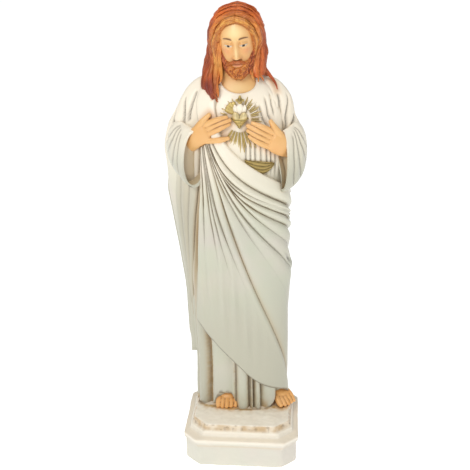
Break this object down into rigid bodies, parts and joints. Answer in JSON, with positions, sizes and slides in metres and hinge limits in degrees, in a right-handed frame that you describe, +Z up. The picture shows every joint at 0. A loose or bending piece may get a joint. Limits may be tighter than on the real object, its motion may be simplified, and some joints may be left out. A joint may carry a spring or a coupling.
{
  "type": "sacred heart statue",
  "caption": "Painted plaster statue of a robed, bearded figure with both hands at a flaming heart on its chest, cast whole with a stepped octagonal plinth.",
  "frame": {"origin": "centre of the plinth's underside, on the surface that the statue stands on", "axes": "+Z up through the figure, -Y towards the front that the figure faces, +X towards the figure's own left"},
  "size_m": [0.0912, 0.07, 0.3],
  "materials": {
    "robes": "satin ivory paint on plaster, with grey-brown antiquing in the creases",
    "flesh": "satin flesh-coloured paint",
    "hair": "satin auburn paint, darker between the locks",
    "gold": "gold paint with dark recesses"
  },
  "bodies": {
    "root": {"statue": "robes"}
  },
  "joints": []
}
